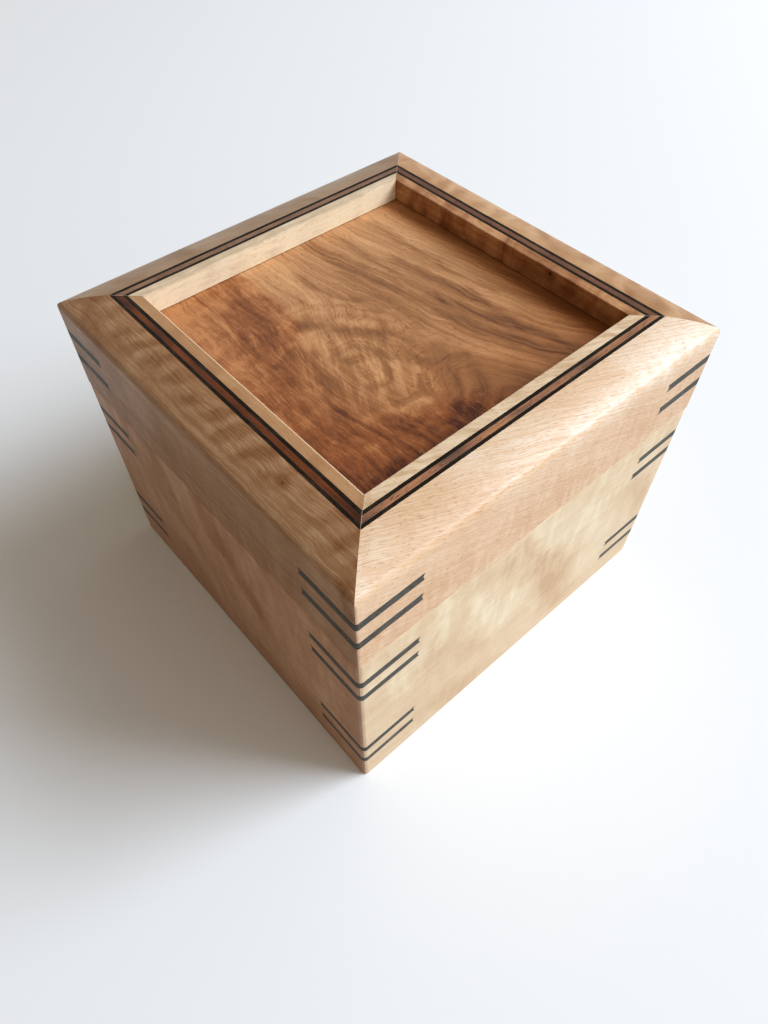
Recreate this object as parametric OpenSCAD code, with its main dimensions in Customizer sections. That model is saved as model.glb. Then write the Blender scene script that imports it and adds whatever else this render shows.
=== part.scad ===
// Wooden puzzle box: a mitred, keyed box body and a lift-off lid with a sunk panel.
// The panel slides in the lid and carries the tongue that locks the lid to the body.
// Millimetres. +Z is up, the front is -Y, and the origin is the centre of the base.

/* [Box] */
// Outside width and depth of the square box
box_w = 140; // [125:1:170]
// Height of the body, from the base to the seam
body_h = 80.5; // [70:0.5:110]
// Height of the lid, from the seam to its flat top
lid_h = 35; // [33:0.5:45]
// Thickness of the body sides and the lid rails
side_t = 12.4; // [11.5:0.1:15]
// Radius of the upright corners of the body
body_corner_r = 1.6; // [0.8:0.1:3]
// Radius of the upright corners of the lid
lid_corner_r = 0.9; // [0.5:0.1:2]
// Radius that eases the edges at the seam and at the base
ease_r = 0.4; // [0.2:0.1:0.8]

/* [Lid border] */
// How far the sloping border falls to the outside
bevel_drop = 3.5; // [2:0.1:5]
// How far the border swells above a straight slope
bevel_crown = 0.35; // [0.05:0.05:0.5]
// Radius where the border turns down into the side
arris_r = 2.4; // [0.5:0.1:3]
// Width of each black line
line_t = 1.1; // [0.8:0.1:1.5]
// Width of the red band between the black lines
band_t = 1.8; // [1.4:0.1:3]
// Width of the pale lip inside the lines
lip_t = 3.5; // [3:0.1:5]
// Depth of the recess, from the top to the panel
recess_d = 7.3; // [5.5:0.1:9]

/* [Sliding panel] */
// Thickness of the panel
panel_t = 5; // [4.8:0.1:6]
// How far the panel slides back to lock the lid
panel_travel = 5; // [4:0.1:5.2]
// Running gap around the panel
panel_gap = 0.3; // [0.2:0.05:0.4]
// Height of the runners under the panel
runner_h = 6; // [5:0.1:7]

/* [Corner keys] */
// Thickness of a corner key, which is one saw cut
key_t = 3.1; // [2:0.1:3.5]
// Length of a key along each face
key_reach = 21.6; // [14:0.1:22]
// Depth of the notch that the saw teeth leave in a key's inner edge
key_notch = 0.4; // [0.2:0.1:0.8]
// Height of the lower lid key above the seam
lid_key_z = 11.9; // [9:0.1:15]
// Pitch of the two lid keys
lid_key_pitch = 9.1; // [6:0.1:10]
// Distance from the seam down to the first body key
rim_key_z = 10.7; // [7:0.1:15]
// Pitch of the two keys under the seam
rim_key_pitch = 8.1; // [6:0.1:10]
// Height of the lowest body key above the base
base_key_z = 14; // [13.5:0.1:20]
// Pitch of the two keys near the base
base_key_pitch = 9.1; // [6:0.1:10]

/* [Lining and bottom] */
// Thickness of the lining boards
liner_t = 4.2; // [3.5:0.1:5]
// How far the lining stands above the seam, inside the lid
liner_lip = 12; // [11:0.1:13]
// Gap between the standing lining and the lid rails
liner_gap = 0.3; // [0.2:0.05:0.5]
// Chamfer on the lining's top edge, which guides the lid on
liner_lead = 1; // [0.5:0.1:2]
// Thickness of the bottom board
bottom_t = 6; // [4:0.1:7]
// Height of the bottom board above the table
bottom_rise = 4; // [2:0.1:5]
// Depth of the groove that holds the bottom board
bottom_groove = 5; // [3:0.1:7]
// Room for the bottom board to swell in its groove
bottom_gap = 0.5; // [0.3:0.1:1]

/* [Lock] */
// Width of the batten under the panel
batten_w = 24; // [20:1:34]
// Thickness of the batten
batten_t = 6; // [5.5:0.1:7]
// Distance from the front runner to the batten
batten_inset = 11; // [4:1:25]
// Thickness of the block that hangs from the batten, front to back
hook_t = 10; // [8:0.5:14]
// Width of the tongue on the block
tongue_w = 18; // [12:1:19]
// Height of the tongue
tongue_h = 4.2; // [3:0.1:4.5]
// Width of the keeper strip on the lining
keeper_w = 40; // [26:1:60]
// Depth of the keeper strip
keeper_d = 5; // [4.5:0.1:6]
// Height of the keeper strip
keeper_h = 4.5; // [4:0.1:5]
// Clearance around the tongue and the block
lock_gap = 0.5; // [0.3:0.1:0.6]

/* [Screws and magnets] */
// Diameter of a batten screw's shank
screw_d = 3; // [2.5:0.1:3.5]
// Diameter of a batten screw's head
screw_head_d = 6; // [5:0.1:7]
// Length of a batten screw
screw_l = 9; // [8:0.1:9.5]
// Distance of the end screws from the batten's front end and from the block
screw_inset = 11; // [5:1:18]
// Width of the slot in a screw's head
slot_w = 0.8; // [0.6:0.1:1]
// Diameter of a magnet
magnet_d = 4; // [3:0.1:4.2]
// Length of a magnet
magnet_l = 2.5; // [1.5:0.1:3]
// Distance of each magnet from the middle of the box
magnet_x = 30; // [15:1:40]
// Clearance around a screw or a magnet in its hole
hole_gap = 0.05; // [0.02:0.01:0.1]

/* [Hidden] */

// Each side or corner is the first one after this many quarter turns.
SIDES = ["front", "right", "back", "left"];
CORNERS = ["front_right", "back_right", "back_left", "front_left"];
function turns(name, names) = search([name], names)[0];
round_steps = 6;
round_fn = 48;
overcut = 1;

// Heights above the base
top_z = body_h + lid_h;
panel_top_z = top_z - recess_d;
panel_z = panel_top_z - panel_t;
trim_z = panel_top_z + panel_gap;
runner_z = panel_z - panel_gap - runner_h;
lining_z = bottom_rise + bottom_t;
lining_top_z = body_h + liner_lip;
keeper_z = lining_top_z - keeper_h;
block_z = keeper_z - lock_gap;
tongue_z = block_z - tongue_h;
batten_z = panel_z - batten_t;
rim_keys_z = [body_h - rim_key_z - rim_key_pitch, body_h - rim_key_z];
base_keys_z = [base_key_z, base_key_z + base_key_pitch];
lid_keys_z = [body_h + lid_key_z, body_h + lid_key_z + lid_key_pitch];

// Distances from the middle of the box
inner_half = box_w / 2 - side_t;
trim_t = 2 * line_t + band_t + lip_t;
mouth_half = inner_half - trim_t;
lining_half = inner_half - liner_t;
keeper_y = lining_half - keeper_d;
hook_y = keeper_y - panel_travel - lock_gap;
tongue_y = keeper_y - lock_gap;
panel_front_y = -inner_half + panel_gap;
panel_back_y = inner_half - panel_gap - panel_travel;
block_y = hook_y - hook_t;
batten_y = batten_inset - mouth_half;
screws_y = [batten_y + screw_inset, (batten_y + block_y) / 2, block_y - screw_inset];

maple = [0.86, 0.70, 0.53];
pale_maple = [0.91, 0.79, 0.62];
walnut = [0.55, 0.33, 0.20];
ebony = [0.12, 0.11, 0.10];
padauk = [0.58, 0.27, 0.16];
brass = [0.80, 0.65, 0.35];
steel = [0.72, 0.72, 0.74];

// Points of an arc round a centre, from one angle to another.
function arc(centre, r, from, to) =
    [for (i = [0 : round_steps]) centre + r * [cos(from + (to - from) * i / round_steps),
                                               sin(from + (to - from) * i / round_steps)]];

// Outline of a square with round corners.
function round_square(w, r) =
    let (c = w / 2 - r)
    concat(arc([c, c], r, 0, 90), arc([-c, c], r, 90, 180),
           arc([-c, -c], r, 180, 270), arc([c, -c], r, 270, 360));

// Profiles are drawn as (distance inwards from the outer face, height).
function body_side_profile() =
    concat(arc([ease_r, ease_r], ease_r, 270, 180),
           arc([ease_r, body_h - ease_r], ease_r, 180, 90),
           [[side_t, body_h], [side_t, 0]]);

// The lid rail's border rises inwards in a shallow curve from a rounded arris.
function lid_rail_profile() =
    let (slope = atan2(bevel_drop, side_t),
         foot = lid_h - bevel_drop,
         along = [cos(slope), sin(slope)],
         out = [-sin(slope), cos(slope)],
         turn = arris_r * tan((90 - slope) / 2),
         first = [0, foot] + turn * along,
         last = [side_t, lid_h])
    concat(arc([ease_r, ease_r], ease_r, 270, 180),
           arc([arris_r, foot - turn], arris_r, 180, 90 + slope),
           [for (i = [1 : round_steps])
               let (t = i / round_steps)
               first * (1 - t) + last * t + out * bevel_crown * 4 * t * (1 - t)],
           [[side_t, 0]]);

function lip_profile() =
    let (h = top_z - trim_z)
    concat([[0, 0], [0, h]], arc([lip_t - ease_r, h - ease_r], ease_r, 90, 0), [[lip_t, 0]]);

// The lining stands flush on the body side, and is set back where it enters the lid.
function lining_profile() =
    let (seam = body_h - lining_z, h = lining_top_z - lining_z)
    [[0, 0], [0, seam], [liner_gap, seam], [liner_gap, h - liner_lead],
     [liner_gap + liner_lead, h], [liner_t, h], [liner_t, 0]];

function strip_profile(t, h) = [[0, 0], [0, h], [t, h], [t, 0]];

// A mitred bar along one side of a square frame of width w.
module frame_bar(side, w, z, profile) {
    rotate(90 * turns(side, SIDES))
        intersection() {
            translate([-w / 2, -w / 2, z])
                rotate([90, 0, 90])
                    linear_extrude(w)
                        polygon(profile);
            translate([0, 0, z - overcut])
                linear_extrude(box_w)
                    polygon([[0, 0], [-w, -w], [w, -w]]);
        }
}

// The upright block that rounds the outer corners of the body or the lid.
module corner_block(z, h, r) {
    translate([0, 0, z])
        linear_extrude(h)
            polygon(round_square(box_w, r));
}

// Saw cuts across the corner after some quarter turns, running out past both faces.
module kerfs(turns, heights) {
    reach = key_reach + overcut;
    for (z = heights)
        rotate(90 * turns)
            translate([box_w / 2, -box_w / 2, z])
                difference() {
                    translate([0, 0, -key_t / 2])
                        linear_extrude(key_t)
                            polygon([[overcut, -overcut], [overcut, reach], [-reach, -overcut]]);
                    kerf_ridge();
                }
}

// The ridge of wood that the saw teeth leave along the bottom of a cut.
module kerf_ridge() {
    translate([-key_reach / 2, key_reach / 2, 0])
        rotate([90, 0, -45])
            translate([0, 0, -key_reach])
                linear_extrude(2 * key_reach)
                    polygon([[-overcut, -key_t], [0, -key_t / 2], [key_notch, 0], [0, key_t / 2],
                             [-overcut, key_t]]);
}

// The cuts at both ends of a side.
module side_kerfs(side, heights) {
    for (turn = [0, 3]) kerfs(turns(side, SIDES) + turn, heights);
}

// Keys that fill the saw cuts, flush with the faces and the rounded corner.
module keys(corner, heights, r) {
    color(ebony)
        intersection() {
            kerfs(turns(corner, CORNERS), heights);
            corner_block(0, top_z, r);
        }
}

module body_side(side) {
    color(maple)
        difference() {
            intersection() {
                frame_bar(side, box_w, 0, body_side_profile());
                corner_block(0, body_h, body_corner_r);
            }
            translate([-(inner_half + bottom_groove), -(inner_half + bottom_groove), bottom_rise])
                cube([2 * (inner_half + bottom_groove), 2 * (inner_half + bottom_groove), bottom_t]);
            side_kerfs(side, concat(base_keys_z, rim_keys_z));
        }
}

module bottom_board() {
    w = 2 * (inner_half + bottom_groove - bottom_gap);
    color(pale_maple)
        translate([-w / 2, -w / 2, bottom_rise])
            cube([w, w, bottom_t]);
}

module lining(side) {
    color(walnut)
        frame_bar(side, 2 * inner_half, lining_z, lining_profile());
}

module keeper_strip() {
    color(walnut)
        translate([-keeper_w / 2, keeper_y, keeper_z])
            cube([keeper_w, keeper_d, keeper_h]);
}

module rim_keys(corner) {
    keys(corner, rim_keys_z, body_corner_r);
}

module base_keys(corner) {
    keys(corner, base_keys_z, body_corner_r);
}

module lid_keys(corner) {
    keys(corner, lid_keys_z, lid_corner_r);
}

module lid_rail(side) {
    color(maple)
        difference() {
            intersection() {
                frame_bar(side, box_w, body_h, lid_rail_profile());
                corner_block(body_h, lid_h, lid_corner_r);
            }
            side_kerfs(side, lid_keys_z);
            if (side == "back") magnet_set(inner_half - overcut, magnet_l + overcut, hole_gap);
        }
}

module outer_line(side) {
    color(ebony)
        frame_bar(side, 2 * inner_half, trim_z, strip_profile(line_t, top_z - trim_z));
}

module red_band(side) {
    color(padauk)
        frame_bar(side, 2 * (inner_half - line_t), trim_z, strip_profile(band_t, top_z - trim_z));
}

module inner_line(side) {
    color(ebony)
        frame_bar(side, 2 * (inner_half - line_t - band_t), trim_z,
                  strip_profile(line_t, top_z - trim_z));
}

module lip(side) {
    color(pale_maple)
        frame_bar(side, 2 * (mouth_half + lip_t), trim_z, lip_profile());
}

module runner(side) {
    color(maple)
        frame_bar(side, 2 * inner_half, runner_z, strip_profile(trim_t, runner_h));
}

// Two upright discs on the panel's middle plane, from y towards the back.
module magnet_set(y, l, gap) {
    for (x = [-magnet_x, magnet_x])
        translate([x, y, panel_z + panel_t / 2])
            rotate([-90, 0, 0])
                cylinder(d = magnet_d + 2 * gap, h = l, $fn = round_fn);
}

module rail_magnets() {
    color(steel) magnet_set(inner_half, magnet_l, 0);
}

module panel_magnets() {
    color(steel) magnet_set(panel_back_y - magnet_l, magnet_l, 0);
}

// A countersunk screw, head down, from the batten's lower face into the panel.
module screw(gap) {
    cylinder(d = screw_d + 2 * gap, h = screw_l + gap, $fn = round_fn);
    cylinder(d1 = screw_head_d + 2 * gap, d2 = screw_d + 2 * gap, h = (screw_head_d - screw_d) / 2,
             $fn = round_fn);
}

module at_screws() {
    for (y = screws_y)
        translate([0, y, batten_z])
            children();
}

module batten_screws() {
    slot_depth = (screw_head_d - screw_d) / 4;
    color(brass)
        at_screws()
            difference() {
                screw(0);
                translate([-screw_head_d / 2, -slot_w / 2, -overcut])
                    cube([screw_head_d, slot_w, slot_depth + overcut]);
            }
}

module lid_panel() {
    w = 2 * (inner_half - panel_gap);
    color(walnut)
        difference() {
            translate([-w / 2, panel_front_y, panel_z])
                cube([w, panel_back_y - panel_front_y, panel_t]);
            at_screws() screw(hole_gap);
            magnet_set(panel_back_y - magnet_l, magnet_l + overcut, hole_gap);
        }
}

module lock_batten() {
    color(maple)
        difference() {
            translate([-batten_w / 2, batten_y, batten_z])
                cube([batten_w, hook_y - batten_y, batten_t]);
            at_screws() screw(hole_gap);
        }
}

// The block hangs from the back end of the batten.
module lock_block() {
    color(maple)
        translate([-batten_w / 2, block_y, block_z])
            cube([batten_w, hook_t, batten_z - block_z]);
}

// The tongue lies under the block and points to the back.
module lock_tongue() {
    color(walnut)
        translate([-tongue_w / 2, block_y, tongue_z])
            cube([tongue_w, tongue_y - block_y, tongue_h]);
}

body_side("front");  // body_side_front
body_side("right");  // body_side_right
body_side("back");  // body_side_back
body_side("left");  // body_side_left
bottom_board();
lining("front");  // lining_front
lining("right");  // lining_right
lining("back");  // lining_back
lining("left");  // lining_left
keeper_strip();
rim_keys("front_right");  // rim_keys_front_right
rim_keys("back_right");  // rim_keys_back_right
rim_keys("back_left");  // rim_keys_back_left
rim_keys("front_left");  // rim_keys_front_left
base_keys("front_right");  // base_keys_front_right
base_keys("back_right");  // base_keys_back_right
base_keys("back_left");  // base_keys_back_left
base_keys("front_left");  // base_keys_front_left
lid_rail("front");  // lid_rail_front
lid_rail("right");  // lid_rail_right
lid_rail("back");  // lid_rail_back
lid_rail("left");  // lid_rail_left
outer_line("front");  // outer_line_front
outer_line("right");  // outer_line_right
outer_line("back");  // outer_line_back
outer_line("left");  // outer_line_left
red_band("front");  // red_band_front
red_band("right");  // red_band_right
red_band("back");  // red_band_back
red_band("left");  // red_band_left
inner_line("front");  // inner_line_front
inner_line("right");  // inner_line_right
inner_line("back");  // inner_line_back
inner_line("left");  // inner_line_left
lip("front");  // lip_front
lip("right");  // lip_right
lip("back");  // lip_back
lip("left");  // lip_left
runner("front");  // runner_front
runner("right");  // runner_right
runner("back");  // runner_back
runner("left");  // runner_left
lid_keys("front_right");  // lid_keys_front_right
lid_keys("back_right");  // lid_keys_back_right
lid_keys("back_left");  // lid_keys_back_left
lid_keys("front_left");  // lid_keys_front_left
rail_magnets();
lid_panel();
lock_batten();
lock_block();
lock_tongue();
batten_screws();
panel_magnets();
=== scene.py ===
import math
import bpy
from mathutils import Euler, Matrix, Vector

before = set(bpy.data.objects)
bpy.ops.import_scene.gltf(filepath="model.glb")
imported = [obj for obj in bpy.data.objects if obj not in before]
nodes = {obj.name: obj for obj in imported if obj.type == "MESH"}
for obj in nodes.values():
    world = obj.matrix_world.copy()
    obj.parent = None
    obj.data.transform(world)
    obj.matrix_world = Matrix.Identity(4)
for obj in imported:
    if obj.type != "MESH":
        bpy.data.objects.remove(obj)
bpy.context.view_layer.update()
sideAngles = {"front": 0, "right": 90, "back": 180, "left": 270}  # each side is the front one, turned
millimetres = 1000.0
print("loaded", len(nodes), "nodes")


# node helpers: a value is either a number, a colour or another node's socket
def setInput(tree, socket, value):
    if isinstance(value, bpy.types.NodeSocket):
        tree.links.new(value, socket)
    else:
        socket.default_value = value


def addNode(tree, kind, values=None, **settings):
    node = tree.nodes.new(kind)
    for key, setting in settings.items():
        setattr(node, key, setting)
    for key, value in (values or {}).items():
        setInput(tree, node.inputs[key], value)
    return node


def maths(tree, operation, a, b=0.0, c=0.0):
    return addNode(tree, "ShaderNodeMath", {0: a, 1: b, 2: c}, operation=operation).outputs[0]


def plus(tree, a, b):
    return maths(tree, "ADD", a, b)


def minus(tree, a, b):
    return maths(tree, "SUBTRACT", a, b)


def times(tree, a, b):
    return maths(tree, "MULTIPLY", a, b)


def timesPlus(tree, a, b, c):
    return maths(tree, "MULTIPLY_ADD", a, b, c)


def over(tree, a, b):
    return maths(tree, "DIVIDE", a, b)


def vectorMaths(tree, operation, a, b):
    return addNode(tree, "ShaderNodeVectorMath", {0: a, 1: b}, operation=operation).outputs["Vector"]


def distanceOf(tree, a, b=(0, 0, 0)):
    return addNode(tree, "ShaderNodeVectorMath", {0: a, 1: b}, operation="DISTANCE").outputs["Value"]


def dotOf(tree, a, b):
    return addNode(tree, "ShaderNodeVectorMath", {0: a, 1: b}, operation="DOT_PRODUCT").outputs["Value"]


def remap(tree, value, low, high, toLow=0.0, toHigh=1.0):
    values = {"Value": value, "From Min": low, "From Max": high, "To Min": toLow, "To Max": toHigh}
    return addNode(tree, "ShaderNodeMapRange", values, interpolation_type="SMOOTHSTEP").outputs["Result"]


def mixColours(tree, factor, a, b, blend="MIX"):
    node = addNode(tree, "ShaderNodeMix", data_type="RGBA", blend_type=blend)
    for key, value in zip((0, 6, 7), (factor, a, b)):
        setInput(tree, node.inputs[key], value)
    return node.outputs[2]


# another colour over the first one, where the mask is
def cover(tree, mask, colour, paint):
    return mixColours(tree, mask, colour, paint + (1,))


# the colour multiplied by a tint, where the mask is
def stain(tree, mask, colour, tint):
    return mixColours(tree, mask, colour, mixColours(tree, 1.0, colour, tint + (1,), "MULTIPLY"))


def noise(tree, vector, scale, detail=2.0, roughness=0.5, distortion=0.0):
    values = {"Vector": vector, "Scale": scale, "Detail": detail, "Roughness": roughness}
    values["Distortion"] = distortion
    return addNode(tree, "ShaderNodeTexNoise", values).outputs["Fac"]


# a value moved by a noise: shape is how often the noise changes, and by how much it moves the value
def moved(tree, value, vector, shape, detail=2, roughness=0.5):
    often, far = shape
    return timesPlus(tree, noise(tree, vector, often, detail, roughness), far, value)


def stretched(tree, vector, x, y, z):
    return vectorMaths(tree, "MULTIPLY", vector, (x, y, z))


def combine(tree, x, y, z=0.0):
    return addNode(tree, "ShaderNodeCombineXYZ", {0: x, 1: y, 2: z}).outputs[0]


def separate(tree, vector):
    return addNode(tree, "ShaderNodeSeparateXYZ", {0: vector}).outputs


def newGroup(name, inputs, outputs):
    kinds = {float: "NodeSocketFloat", tuple: "NodeSocketColor", Vector: "NodeSocketVector"}
    group = bpy.data.node_groups.new(name, "ShaderNodeTree")
    for label, value in inputs.items():
        socket = group.interface.new_socket(name=label, in_out="INPUT", socket_type=kinds[type(value)])
        socket.default_value = value
    for label, kind in outputs.items():
        group.interface.new_socket(name=label, in_out="OUTPUT", socket_type=kinds[kind])
    return group, group.nodes.new("NodeGroupInput").outputs, group.nodes.new("NodeGroupOutput").inputs


def placeGroup(tree, group, values):
    return addNode(tree, "ShaderNodeGroup", values, node_tree=group).outputs


# a board's own millimetres: Along the grain, Into the board from the middle of the box, and Up
def buildBoardSpace():
    outputs = {"Along": float, "Into": float, "Up": float}
    group, given, result = newGroup("boardSpace", {"Angle": 0.0}, outputs)
    place = addNode(group, "ShaderNodeTexCoord").outputs["Object"]
    values = {"Vector": place, "Angle": given["Angle"]}
    turned = addNode(group, "ShaderNodeVectorRotate", values, rotation_type="Z_AXIS").outputs[0]
    scaled = stretched(group, turned, millimetres, millimetres, millimetres)
    for label, value in zip(outputs, separate(group, scaled)):
        group.links.new(value, result[label])
    return group


# a soft stroke of colour with round ends, from Start to End
def buildStroke():
    origin = Vector((0, 0, 0))
    inputs = {"Vector": origin, "Start": origin, "End": Vector((1, 0, 0)), "Width": 1.0}
    group, given, result = newGroup("stroke", inputs, {"Mask": float})
    fromStart = vectorMaths(group, "SUBTRACT", given["Vector"], given["Start"])
    whole = vectorMaths(group, "SUBTRACT", given["End"], given["Start"])
    values = {0: dotOf(group, fromStart, whole), 1: dotOf(group, whole, whole)}
    share = addNode(group, "ShaderNodeMath", values, operation="DIVIDE", use_clamp=True).outputs[0]
    nearest = addNode(group, "ShaderNodeVectorMath", {0: whole, "Scale": share}, operation="SCALE")
    away = distanceOf(group, fromStart, nearest.outputs["Vector"])
    group.links.new(remap(group, away, 0.0, given["Width"], 1.0, 0.0), result["Mask"])
    return group


# each layer: how often it changes in a mm along, across and into the board, its detail and roughness,
# and the noise at which it starts and is full; Lines count across in pitches
grainLayers = {
    "Lines": (0.022, 1.0, 0.05, 3, 0.55, (0.33, 0.67)),
    "Fibres": (0.28, 2.6, 0.5, 2, 0.6, (0.30, 0.70)),
    "Flecks": (0.6, 2.2, 0.9, 1, 0.5, (0.57, 0.72)),
}
grainWave = 0.05  # how often in a mm the grain bends


# lines, fine fibres and short dark flecks that run along the board
def buildGrain():
    inputs = {"Vector": Vector((0, 0, 0)), "Slant": 0.0, "Pitch": 1.3, "Wave": 7.0}
    group, given, result = newGroup("grain", inputs, {label: float for label in grainLayers})
    x, y, z = separate(group, given["Vector"])
    leaning = timesPlus(group, x, given["Slant"], plus(group, y, z))
    bent = moved(group, leaning, given["Vector"], (grainWave, given["Wave"]), 3, 0.55)
    depth = minus(group, y, z)
    for label, (alongOften, acrossOften, intoOften, detail, roughness, ends) in grainLayers.items():
        across = over(group, bent, given["Pitch"]) if label == "Lines" else bent
        place = combine(group, times(group, x, alongOften), times(group, across, acrossOften),
                        times(group, depth, intoOften))
        value = noise(group, place, 1.0, detail, roughness)
        group.links.new(remap(group, value, *ends), result[label])
    return group


# drift, sway, flameEdge and curlRough: how often each noise changes in a mm, and how far it moves the figure
figureShape = {
    "drift": (0.035, 24.0), "patchLength": 2.4, "patchRange": (0.30, 0.70),
    "sway": (0.11, 7.0), "flameLength": 0.03, "flameRange": (0.38, 0.64), "flameEdge": (0.08, 26.0),
    "curlDrift": 0.5, "curlRough": (0.13, 5.0), "curlPlaces": 0.07, "curlRange": (0.36, 0.58),
    "curlFade": 4.0,
}


# light and dark figure across the grain: soft Patches, Flames that hang from one edge, and narrow Curls
def buildFigure():
    shape = figureShape
    inputs = {"Vector": Vector((0, 0, 0)), "Patch Size": 20.0, "Tilt": 0.4, "Flame Width": 8.0,
              "Flame Top": 10.0, "Flame Foot": -20.0, "Curl Width": 12.0, "Curl Tilt": 0.3,
              "Curl Foot": -90.0}
    group, given, result = newGroup("figure", inputs, {"Patches": float, "Flames": float, "Curls": float})
    vector = given["Vector"]
    x, y, z = separate(group, vector)
    across = plus(group, y, z)
    drift = moved(group, 0.0, vector, shape["drift"])
    # patches
    slanted = plus(group, timesPlus(group, across, given["Tilt"], x), drift)
    long = times(group, given["Patch Size"], shape["patchLength"])
    place = combine(group, over(group, slanted, given["Patch Size"]), over(group, across, long))
    patches = noise(group, place, 1.0, 3, 0.5, 0.5)
    group.links.new(remap(group, patches, *shape["patchRange"]), result["Patches"])
    # flames
    sway = moved(group, x, vector, shape["sway"])
    place = combine(group, over(group, sway, given["Flame Width"]),
                    times(group, across, shape["flameLength"]))
    flames = remap(group, noise(group, place, 1.0, 3, 0.55), *shape["flameRange"])
    edge = moved(group, across, vector, shape["flameEdge"])
    fade = remap(group, edge, given["Flame Foot"], given["Flame Top"])
    group.links.new(times(group, flames, fade), result["Flames"])
    # curls
    drifting = timesPlus(group, drift, shape["curlDrift"], x)
    leaning = timesPlus(group, across, given["Curl Tilt"], drifting)
    turn = over(group, times(group, leaning, 2 * math.pi), given["Curl Width"])
    rough = moved(group, turn, vector, shape["curlRough"], 3, 0.6)
    wave = remap(group, maths(group, "SINE", rough), -1.0, 1.0)
    here = remap(group, noise(group, vector, shape["curlPlaces"], 2), *shape["curlRange"])
    risen = remap(group, minus(group, across, given["Curl Foot"]), -shape["curlFade"], shape["curlFade"])
    group.links.new(times(group, times(group, wave, here), risen), result["Curls"])
    return group


# rough: how often the knot's edge changes in a mm, and by how many radii; core and halo: where each fades out
knotShape = {"rough": (0.8, 0.8), "core": (0.7, 1.3), "halo": (0.9, 4.0)}


# a small dark knot with a stained ring, drawn out along the grain
def buildKnot():
    inputs = {"Vector": Vector((0, 0, 0)), "Centre": Vector((0, 0, 0)), "Radius": 1.0, "Stretch": 1.5}
    group, given, result = newGroup("knot", inputs, {"Core": float, "Halo": float})
    x, y, z = separate(group, vectorMaths(group, "SUBTRACT", given["Vector"], given["Centre"]))
    shrunk = combine(group, over(group, x, given["Stretch"]), y, z)
    radii = over(group, distanceOf(group, shrunk), given["Radius"])
    reach = moved(group, radii, given["Vector"], knotShape["rough"], 3)
    group.links.new(remap(group, reach, *knotShape["core"], 1.0, 0.0), result["Core"])
    group.links.new(remap(group, reach, *knotShape["halo"], 1.0, 0.0), result["Halo"])
    return group


mitreShape = {"often": 1.5, "ragged": 0.16, "full": 0.5}  # full is the share of the width that is solid


# a thin ragged line where two mitred pieces meet
def buildMitreLine():
    group, given, result = newGroup("mitreLine", {"Width": 0.1}, {"Mask": float})
    place = addNode(group, "ShaderNodeTexCoord").outputs["Object"]
    scaled = stretched(group, place, millimetres, millimetres, millimetres)
    x, y, z = separate(group, scaled)
    ragged = moved(group, -mitreShape["ragged"] / 2, scaled, (mitreShape["often"], mitreShape["ragged"]))
    apart = minus(group, maths(group, "ABSOLUTE", x), maths(group, "ABSOLUTE", y))
    apart = maths(group, "ABSOLUTE", plus(group, apart, ragged))
    full = times(group, given["Width"], mitreShape["full"])
    group.links.new(remap(group, apart, full, given["Width"], 1.0, 0.0), result["Mask"])
    return group


boardSpace = buildBoardSpace()
stroke = buildStroke()
grain = buildGrain()
figure = buildFigure()
knot = buildKnot()
mitreLine = buildMitreLine()
print("built the shared effects")


def startMaterial(name, finish):
    material = bpy.data.materials.new(name)
    material.use_nodes = True
    tree = material.node_tree
    shader = tree.nodes["Principled BSDF"]
    shader.inputs["Roughness"].default_value = finish["roughness"]
    shader.inputs["Specular IOR Level"].default_value = finish["gloss"]
    return material, tree, shader


# a board's coordinates, plain and shifted, so that no two boards have the same grain
def boardVector(tree, side, shift=(0, 0, 0)):
    space = placeGroup(tree, boardSpace, {"Angle": -math.radians(sideAngles[side])})
    plain = combine(tree, space["Along"], space["Into"], space["Up"])
    return plain, vectorMaths(tree, "ADD", plain, shift)


def addRelief(tree, shader, height, depth):
    bump = addNode(tree, "ShaderNodeBump", {"Height": height, "Strength": 1.0, "Distance": depth})
    tree.links.new(bump.outputs[0], shader.inputs["Normal"])


roughnessSpread = 0.05  # how far a finish's roughness goes either way, unless the finish says


def addRoughness(tree, shader, value, finish):
    spread = finish.get("spread", roughnessSpread)
    low, high = finish["roughness"] - spread, finish["roughness"] + spread
    tree.links.new(remap(tree, value, 0.0, 1.0, high, low), shader.inputs["Roughness"])


# a tone moved up or down by a value between 0 and 1
def weighted(tree, tone, value, weight):
    return timesPlus(tree, minus(tree, value, 0.5), weight, tone)


# three colours over a tone, with the tones at which each of them is reached
def rampOf(tree, tone, stops, deep, middle, pale):
    colour = deep + (1,)
    for start, end, nextColour in ((stops[0], stops[1], middle), (stops[1], stops[2], pale)):
        values = {"Value": tone, "From Min": start, "From Max": end}
        factor = addNode(tree, "ShaderNodeMapRange", values).outputs["Result"]
        colour = cover(tree, factor, colour, nextColour)
    return colour


# rimFade and wallFade are in mm: the fades of the painted highlight on a lip's inner top edge and of the
# painted light on its wall
oiledMaple = {
    "roughness": 0.36, "gloss": 0.12, "relief": 0.00002, "ramp": (-0.15, 0.5, 1.15), "fibres": 0.7,
    "fleckTint": (0.72, 0.58, 0.47), "fleckDepth": -0.5, "glueWidth": 0.14, "rimFade": (0.55, 0.1),
    "wallFade": 0.3,
}
# what a maple board has unless its own look says otherwise
usualMaple = {
    "slant": 0.0, "pitch": 1.3, "wave": 7.0, "flame": 0.0, "flameWidth": 8.0, "flameTop": 12.0,
    "flameFoot": -30.0, "curl": 0.0, "curlWidth": 12.0, "curlTilt": 0.3, "curlFoot": -90.0, "level": 0.5,
}
strokeShape = {"bend": (0.11, 12.0), "feather": (0.3, 0.3, 0.07), "featherRange": (0.3, 0.7, 0.45, 1.25)}


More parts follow.
